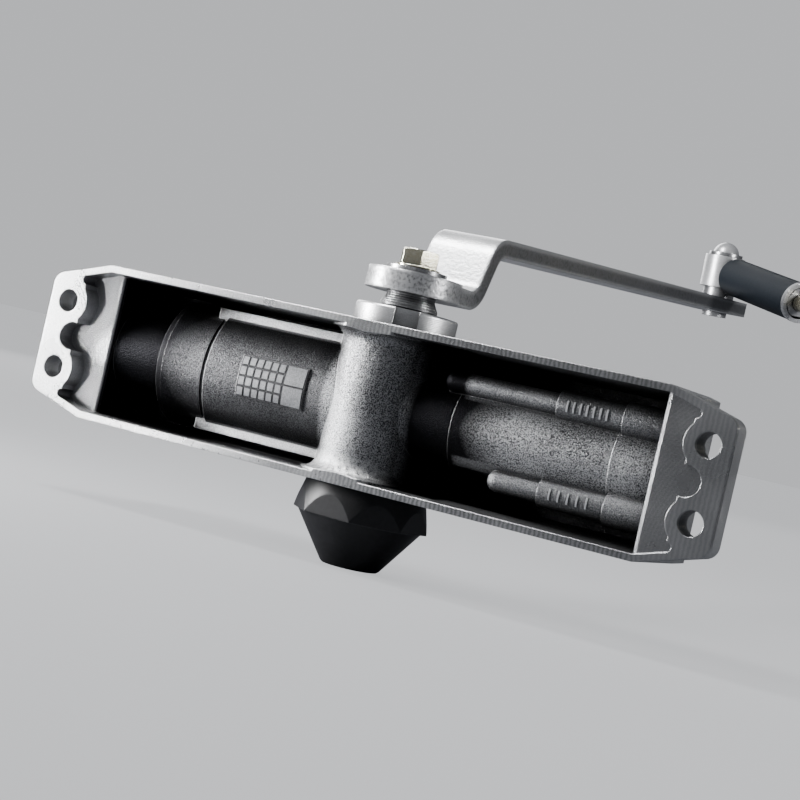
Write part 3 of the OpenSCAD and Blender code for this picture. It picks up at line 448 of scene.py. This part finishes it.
def start_nodes(name, inputs):
    """Opens a geometry tree with named inputs after its geometry."""
    tree = bpy.data.node_groups.new(name, "GeometryNodeTree")
    sockets = {}
    for title, kind in (("Geometry", "Geometry"), *inputs):
        socket = tree.interface.new_socket(title, in_out="INPUT", socket_type="NodeSocket" + kind)
        sockets[title] = socket.identifier
    tree.interface.new_socket("Geometry", in_out="OUTPUT", socket_type="NodeSocketGeometry")
    return tree, sockets, tree.nodes.new("NodeGroupInput").outputs, tree.nodes.new("NodeGroupOutput").inputs


def copies_along(tree, shape, count, step):
    """A row of copies of a shape, one step apart."""
    line = tree.nodes.new("GeometryNodeMeshLine")
    tree.links.new(count, line.inputs["Count"])
    tree.links.new(step, line.inputs["Offset"])
    row = tree.nodes.new("GeometryNodeInstanceOnPoints")
    tree.links.new(line.outputs[0], row.inputs["Points"])
    tree.links.new(shape, row.inputs["Instance"])
    return row.outputs[0]


def end_nodes(tree, shape, material, made):
    """Makes the copies real and gives them their material."""
    solid = tree.nodes.new("GeometryNodeRealizeInstances")
    coat = tree.nodes.new("GeometryNodeSetMaterial")
    tree.links.new(shape, solid.inputs[0])
    tree.links.new(solid.outputs[0], coat.inputs["Geometry"])
    tree.links.new(material, coat.inputs["Material"])
    tree.links.new(coat.outputs[0], made["Geometry"])
    return solid, coat


def grown(name, mesh, tree, sockets, values):
    """Runs a tree on a mesh and keeps the plain result as one piece."""
    seed = bpy.data.objects.new(name, mesh)
    bpy.context.collection.objects.link(seed)
    grow = seed.modifiers.new("grow", "NODES")
    grow.node_group = tree
    for title, value in values.items():
        grow[sockets[title]] = value
    whole = bpy.data.meshes.new_from_object(seed.evaluated_get(bpy.context.evaluated_depsgraph_get()))
    seed.modifiers.clear()
    seed.data = whole
    whole.name = name
    return seed


# Pads in rows and columns, each pushed back onto a round that lies along X
cell_tree, cell_in, given, made = start_nodes("cells_on_a_round", (
    ("Columns", "Int"), ("Rows", "Int"), ("Column Step", "Vector"), ("Row Step", "Vector"),
    ("First", "Vector"), ("Round Radius", "Float"), ("Middle Height", "Float"), ("Material", "Material")))
column = copies_along(cell_tree, given["Geometry"], given["Rows"], given["Row Step"])
field = copies_along(cell_tree, column, given["Columns"], given["Column Step"])
shift = cell_tree.nodes.new("GeometryNodeTransform")
cell_tree.links.new(field, shift.inputs["Geometry"])
cell_tree.links.new(given["First"], shift.inputs["Translation"])
solid, coat = end_nodes(cell_tree, shift.outputs[0], given["Material"], made)
bend = cell_tree.nodes.new("GeometryNodeSetPosition")
where = cell_tree.nodes.new("ShaderNodeSeparateXYZ")
cell_tree.links.new(cell_tree.nodes.new("GeometryNodeInputPosition").outputs[0], where.inputs[0])
aside = reckon(cell_tree, "SUBTRACT", where.outputs[2], given["Middle Height"])
radius_sq = reckon(cell_tree, "MULTIPLY", given["Round Radius"], given["Round Radius"])
squares = reckon(cell_tree, "SUBTRACT", radius_sq, reckon(cell_tree, "MULTIPLY", aside, aside))
sag = reckon(cell_tree, "SUBTRACT", given["Round Radius"], reckon(cell_tree, "SQRT", squares))
lift = cell_tree.nodes.new("ShaderNodeCombineXYZ")
cell_tree.links.new(sag, lift.inputs[1])
cell_tree.links.new(solid.outputs[0], bend.inputs["Geometry"])
cell_tree.links.new(lift.outputs[0], bend.inputs["Offset"])
cell_tree.links.new(bend.outputs[0], coat.inputs["Geometry"])

plate_y, roof_r = 0.00455, 0.02045
row_step = (plate_z[1] - plate_z[0]) / 4
cell_step = 0.00233
pad_rise, pad_taper = 0.00012, 0.00010
bright_cast = Finish("ground_cells", 0.85, 0.0004, (0.21, 0.213, 0.22), (0.36, 0.365, 0.375), 2.5, 0.40)
raised_cells = bright_cast.close([], bump=0.3, edge=0.0, depth=0)
# painted highlight: the raised strokes are painted bright
bright_marks = Finish("strokes_painted_highlight", 0.80, 0.0004, (0.66, 0.665, 0.68), (0.88, 0.885, 0.90), 2.0, 0.36)
raised_strokes = bright_marks.close([], bump=0.2, edge=0.0, depth=0)
small_pad = low_pad("small_pad", cell_step * 0.80, row_step * 0.80, pad_rise, pad_taper)
small = grown("date_cells_small", small_pad, cell_tree, cell_in,
              {"Columns": 6, "Rows": 4, "Column Step": (cell_step, 0, 0), "Row Step": (0, 0, row_step),
               "First": (plate_x[0] + 0.6 * cell_step, plate_y, plate_z[0] + row_step / 2),
               "Round Radius": roof_r, "Middle Height": 0.0, "Material": raised_cells})
large_x = plate_x[0] + 6.1 * cell_step
large_pad = low_pad("large_pad", (plate_x[1] - large_x) * 0.90, row_step * 1.86, pad_rise, pad_taper)
large = grown("date_cells_large", large_pad, cell_tree, cell_in,
              {"Columns": 1, "Rows": 2, "Column Step": (cell_step, 0, 0), "Row Step": (0, 0, 2 * row_step),
               "First": ((large_x + plate_x[1]) / 2, plate_y, plate_z[0] + row_step),
               "Round Radius": roof_r, "Middle Height": 0.0, "Material": raised_cells})
for piece in (small, large):
    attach(piece, "closer_body")


# ------------------------------------------------------------------------------------------
# Valve marks: a row of raised strokes cast on the middle step of each valve rib, seven on the
# long rib and five on the short one, in place of words.
# ------------------------------------------------------------------------------------------
rib_r, rib_z, rib_y, marks_run = 0.0038, 0.0112, 0.0112, 0.0125
for name, count, start, side in (("closing_marks", 7, 0.0555, 1), ("latch_marks", 5, 0.0560, -1)):
    strokes = grown(name, low_pad("stroke_pad", 0.00065, 0.0030, 0.00022, 0.00010), cell_tree, cell_in,
                    {"Columns": count, "Rows": 1, "Column Step": (marks_run / count, 0, 0),
                     "Row Step": (0, 0, 0.001), "First": (start, rib_y - rib_r, side * rib_z),
                     "Round Radius": rib_r, "Middle Height": side * rib_z, "Material": raised_strokes})
    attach(strokes, "closer_body")

# ------------------------------------------------------------------------------------------
# End plugs and the two screwed pinion caps: turned from bar, with fine lathe lines round their
# own axes and bright chamfers. The small hardware and the valve screws are zinc plated.
# ------------------------------------------------------------------------------------------
lathe_step, pinion_y = 0.00045, 0.020
for name, axis, pieces in (("turned_caps", 2, ["cap_top", "cap_bottom"]),
                           ("turned_plugs", 0, ["end_plug_left", "end_plug_right"])):
    turned = Finish(name, 0.85, 0.0003, (0.62, 0.625, 0.635), (0.84, 0.845, 0.855), 2.2, 0.36)
    tree, axes = turned.tree, turned.axes()
    centred = [axes[0], reckon(tree, "SUBTRACT", axes[1], pinion_y), axes[2]]
    across = [reckon(tree, "MULTIPLY", centred[i], centred[i]) for i in range(3) if i != axis]
    radius = reckon(tree, "SQRT", reckon(tree, "ADD", *across))
    feed = reckon(tree, "MULTIPLY", reckon(tree, "ADD", radius, axes[axis]), 2 * math.pi / lathe_step)
    turned.height = reckon(tree, "ADD", turned.height, reckon(tree, "SINE", feed))
    turned.close(pieces, bump=0.30, grain_height=0.00004, edge=0.00035, worn=(0.95, 0.95, 0.95), wear=0.5,
                 reach=0.006, depth=0.9)

zinc = Finish("bright_zinc", 0.90, 0.0004, (0.48, 0.485, 0.50), (0.80, 0.805, 0.82), 2.5, 0.28)
zinc.close(["arm_washer", "elbow_collar", "elbow_washer", "sleeve_ring", "jam_nut", "bracket_pin",
            "bracket_washer", "closing_valve", "latch_valve"],
           bump=0.25, grain_height=0.00005, edge=0.0002, wear=0.4, reach=0.004, depth=1.0)

# ------------------------------------------------------------------------------------------
# Dust collar: a turned collar between the top cap and the arm's head, with close ring lines.
# ------------------------------------------------------------------------------------------
collar = Finish("ringed_collar", 0.85, 0.0004, (0.52, 0.525, 0.54), (0.76, 0.765, 0.78), 2.0, 0.34)
_, _, up = collar.axes()
ring_step = 0.00062
lines = reckon(collar.tree, "SINE", reckon(collar.tree, "MULTIPLY", up, 2 * math.pi / ring_step))
collar.height = reckon(collar.tree, "ADD", collar.height, reckon(collar.tree, "MULTIPLY", lines, 1.5))
collar.close(["dust_collar"], bump=0.6, grain_height=0.00006, edge=0.0002, reach=0.004, depth=1.4)

# ------------------------------------------------------------------------------------------
# Pinion, piston, bearings and check ball: hardened steel, ground where they run. Seals and
# rings: black rubber.
# ------------------------------------------------------------------------------------------
steel = Finish("ground_steel", 0.95, 0.0004, (0.40, 0.40, 0.41), (0.60, 0.60, 0.61), 1.8, 0.32)
steel.close(["pinion", "piston", "bearing_top", "bearing_bottom", "check_ball"],
            bump=0.2, grain_height=0.00004, edge=0.0002, depth=0.8)
rubber = Finish("black_rubber", 0.0, 0.0005, (0.010, 0.010, 0.010), (0.028, 0.028, 0.028), 2.0, 0.66)
rubber.close(["plug_rings", "seal_top", "seal_bottom", "piston_rings", "closing_ring", "latch_ring"],
             bump=0.2, edge=0.0, depth=0)

# ------------------------------------------------------------------------------------------
# Spring and check valve inside the piston: oil-hardened spring wire and a brass retainer. The
# spring stands on the left plug; its coils are drawn as one piece that rides with the piston.
# ------------------------------------------------------------------------------------------
wire = Finish("spring_wire", 0.85, 0.0005, (0.10, 0.105, 0.12), (0.22, 0.225, 0.24), 2.0, 0.38)
spring_wire = wire.close(["main_spring"], bump=0.2, edge=0.0, depth=0)
coils = bmesh.new()
coils.from_mesh(nodes["main_spring"].data)
bmesh.ops.remove_doubles(coils, verts=coils.verts, dist=1e-6)
coil_mesh = bpy.data.meshes.new("closing_coils")
coils.to_mesh(coil_mesh)
coils.free()
coil_mesh.materials.clear()
coil_mesh.materials.append(spring_wire)
closing_coils = bpy.data.objects.new("closing_coils", coil_mesh)
bpy.context.collection.objects.link(closing_coils)
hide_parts("main_spring")
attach(closing_coils, "piston_set")
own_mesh(closing_coils)
brass = Finish("turned_brass", 0.9, 0.0004, (0.52, 0.38, 0.16), (0.70, 0.54, 0.26), 2.0, 0.35)
brass.close(["check_retainer"], bump=0.2, edge=0.0, depth=0)

# ------------------------------------------------------------------------------------------
# Spindle cap: a moulded cap in smooth dark plastic, pressed over the unused end of the pinion.
# ------------------------------------------------------------------------------------------
moulded = Finish("smooth_dark_plastic", 0.0, 0.0012, (0.010, 0.010, 0.011), (0.018, 0.018, 0.020), 1.6, 0.40)
moulded.shader.inputs["Specular IOR Level"].default_value = 0.35
moulded.close(["spindle_cap"], bump=0.10, grain_height=0.00004, edge=0.0005, worn=(0.10, 0.10, 0.105),
              wear=0.5, reach=0.006, depth=0.6)

# ------------------------------------------------------------------------------------------
# Main arm and frame bracket: pressed steel in silver paint, with an orange-peel skin. The
# strip's sheared edges show through as a darker, broken band under the rolled upper corner;
# the upper corner is painted lighter and the lower corner carries a bright line, both painted light.
# ------------------------------------------------------------------------------------------
strip_end = 0.10
painted = Finish("silver_paint", 0.60, 0.0005, (0.66, 0.665, 0.68), (0.86, 0.865, 0.875), 1.8, 0.34)
tree = painted.tree
facing = tree.nodes.new("ShaderNodeSeparateXYZ")
tree.links.new(tree.nodes.new("ShaderNodeNewGeometry").outputs["True Normal"], facing.inputs[0])
upright = under(tree, reckon(tree, "ABSOLUTE", facing.outputs[2]), 0.20, 0.05)
along, outward, _ = painted.axes()
upright = every(tree, upright, under(tree, along, strip_end, 0.01))
# the sheared band is lighter near the head and darker further out along the strip
bare = tint(tree, over(tree, outward, 0.012, 0.030), (0.62, 0.625, 0.635), (0.17, 0.172, 0.180))
torn = over(tree, mottle(tree, painted.point, 0.0008, 4.0), 0.46, 0.22)
sheared_band_and_painted_light = tint(tree, reckon(tree, "MULTIPLY", torn, 0.7), bare, (0.070, 0.071, 0.075))
rolled = tree.nodes.new("ShaderNodeSeparateXYZ")
tree.links.new(painted.place(edge_group, {"Radius": 0.0024})["Normal"], rolled.inputs[0])
# painted light: the upper rounded corner, facing up, takes the paint's lighter tone
sheared_band_and_painted_light = tint(tree, over(tree, rolled.outputs[2], 0.05, 0.35), sheared_band_and_painted_light, (0.66, 0.665, 0.68))
# painted highlight: a bright line along the lower rounded corner, facing down
sheared_band_and_painted_light = tint(tree, under(tree, rolled.outputs[2], -0.62, 0.20), sheared_band_and_painted_light, (0.80, 0.805, 0.82))
painted.colour = tint(tree, upright, painted.colour, sheared_band_and_painted_light)
peel = mottle(tree, painted.point, 0.0011, 3.0)
painted.height = reckon(tree, "ADD", painted.height, reckon(tree, "MULTIPLY", peel, 2.5))
painted.close(["main_arm", "bracket"], bump=0.35, grain_height=0.00009, edge=0.0011,
              worn=(0.80, 0.805, 0.815), wear=0.7, reach=0.008, depth=1.0)

# ------------------------------------------------------------------------------------------
# Arm bolt and forearm rod: zinc plated and passivated yellow, with bright flats. The rod is cut
# with a thread from the socket to past its middle, drawn as close rings round its own axis, with
# painted shade in their roots.
# ------------------------------------------------------------------------------------------
yellow = Finish("yellow_zinc", 0.95, 0.0006, (0.70, 0.65, 0.46), (0.92, 0.89, 0.74), 1.6, 0.16)
tree = yellow.tree
elbow_at, rod_way = (0.0102034, 0.2536972, 0.0775099), (0.7462603, -0.6424825, -0.1741026)
thread_end, half_pitch = 0.140, 0.0005
arm = tree.nodes.new("ShaderNodeVectorMath")
arm.operation = "SUBTRACT"
put(tree, yellow.point, arm.inputs[0])
put(tree, elbow_at, arm.inputs[1])
run = tree.nodes.new("ShaderNodeVectorMath")
run.operation = "DOT_PRODUCT"
put(tree, arm.outputs["Vector"], run.inputs[0])
put(tree, rod_way, run.inputs[1])
threaded = under(tree, run.outputs["Value"], thread_end, 0.0005)
crest = reckon(tree, "PINGPONG", run.outputs["Value"], half_pitch)
thread = every(tree, reckon(tree, "DIVIDE", crest, half_pitch), threaded)
# painted shade in the thread's roots
thread_root_shade = every(tree, under(tree, crest, 0.0, half_pitch / 2), threaded, 0.8)
yellow.colour = tint(tree, thread_root_shade, yellow.colour, (0.10, 0.08, 0.04))
yellow.height = reckon(tree, "ADD", yellow.height, reckon(tree, "MULTIPLY", thread, 8.0))
yellow.close(["arm_bolt", "rod"], bump=0.3, grain_height=0.00004, edge=0.0003, worn=(1.0, 0.98, 0.88),
             wear=0.7, reach=0.004, depth=0.8)

# ------------------------------------------------------------------------------------------
# Elbow: a peened pin through a painted knuckle, turning on a collar above the strip.
# ------------------------------------------------------------------------------------------
knuckle = Finish("painted_knuckle", 0.65, 0.0005, (0.64, 0.645, 0.66), (0.86, 0.865, 0.88), 1.8, 0.32)
knuckle.close(["knuckle_socket", "elbow_pin"], bump=0.35, grain_height=0.00008, edge=0.0005, wear=0.5,
              reach=0.006, depth=1.0)

# ------------------------------------------------------------------------------------------
# Sleeve: a blue-grey moulded grip over the socket, closed by the plated ring.
# ------------------------------------------------------------------------------------------
grip = Finish("blue_grey_plastic", 0.0, 0.0007, (0.006, 0.009, 0.013), (0.012, 0.016, 0.022), 2.0, 0.50)
grip.shader.inputs["Specular IOR Level"].default_value = 0.15
grip.close(["sleeve"], bump=0.25, grain_height=0.00006, edge=0.0005, worn=(0.10, 0.115, 0.13), wear=0.4,
           reach=0.006, depth=0.8)
